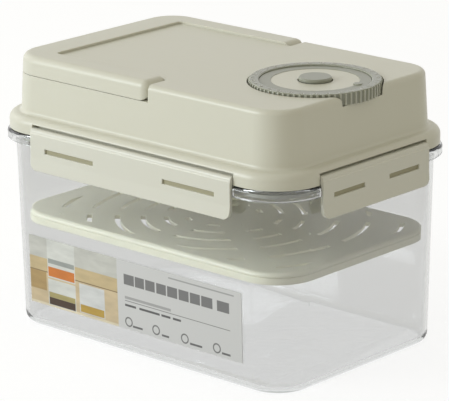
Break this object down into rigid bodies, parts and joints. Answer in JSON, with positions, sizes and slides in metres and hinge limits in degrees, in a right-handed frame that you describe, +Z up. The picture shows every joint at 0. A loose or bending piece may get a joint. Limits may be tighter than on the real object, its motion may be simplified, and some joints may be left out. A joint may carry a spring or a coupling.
{
  "type": "kimchi container",
  "caption": "Rectangular clear keeper with a domed, latched lid, carry handle, date dial with vent button, and a slotted press plate inside.",
  "frame": {"origin": "centre of the box's base, on the surface it stands on", "axes": "+X along the long front wall, towards the dial end; -Y out of the labelled front; +Z up"},
  "size_m": [0.246, 0.1684, 0.1731],
  "materials": {
    "clear_plastic": "clear, glossy",
    "cream_plastic": "satin, fine moulded",
    "grey_plastic": "satin",
    "silicone": "soft, translucent white",
    "label": "coated print in fields of colour",
    "steel": "bright"
  },
  "bodies": {
    "box": {"container": "clear_plastic", "front_label": "label"},
    "lid": {"lid_shell": "cream_plastic", "lid_gasket": "silicone", "handle_pin_front": "steel", "handle_pin_back": "steel", "pointer_ring": "grey_plastic", "dial_hub": "cream_plastic", "valve_spring": "steel", "front_latch_pin": "steel", "back_latch_pin": "steel", "left_latch_pin": "steel", "right_latch_pin": "steel"},
    "front_latch": {"front_latch": "cream_plastic"},
    "back_latch": {"back_latch": "cream_plastic"},
    "left_latch": {"left_latch": "cream_plastic"},
    "right_latch": {"right_latch": "cream_plastic"},
    "handle": {"carry_handle": "cream_plastic"},
    "date_ring": {"date_ring": "grey_plastic"},
    "valve": {"valve_button": "grey_plastic", "valve_seal": "silicone", "valve_clip": "steel"},
    "press": {"press_plate": "cream_plastic"}
  },
  "joints": [
    {"name": "lid_lift", "type": "slide", "parent": "box", "child": "lid", "axis": [0, 0, 1], "range_m": [0, 0.1]},
    {"name": "press_slide", "type": "slide", "parent": "box", "child": "press", "axis": [0.0239, -0.0239, 0.9994], "range_m": [-0.058, 0.044]},
    {"name": "front_latch_hinge", "type": "hinge", "parent": "lid", "child": "front_latch", "pos_m": [0, -0.0795, 0.1285], "axis": [-1, 0, 0], "range_deg": [-5, 90]},
    {"name": "back_latch_hinge", "type": "hinge", "parent": "lid", "child": "back_latch", "pos_m": [0, 0.0795, 0.1285], "axis": [1, 0, 0], "range_deg": [-5, 90]},
    {"name": "left_latch_hinge", "type": "hinge", "parent": "lid", "child": "left_latch", "pos_m": [-0.1183, 0, 0.1285], "axis": [0, 1, 0], "range_deg": [-5, 90]},
    {"name": "right_latch_hinge", "type": "hinge", "parent": "lid", "child": "right_latch", "pos_m": [0.1183, 0, 0.1285], "axis": [0, -1, 0], "range_deg": [-5, 90]},
    {"name": "handle_hinge", "type": "hinge", "parent": "lid", "child": "handle", "pos_m": [0, 0, 0.16605], "axis": [0, 1, 0], "range_deg": [0, 90]},
    {"name": "date_ring_turn", "type": "hinge", "parent": "lid", "child": "date_ring", "pos_m": [0.0744, 0, 0.1704], "axis": [0, 0, 1], "continuous": true},
    {"name": "valve_press", "type": "slide", "parent": "lid", "child": "valve", "axis": [0, 0, -1], "range_m": [0, 0.0018], "stiffness_N_per_m": 300, "springref_m": -0.001, "deforming": ["valve_spring"]}
  ]
}
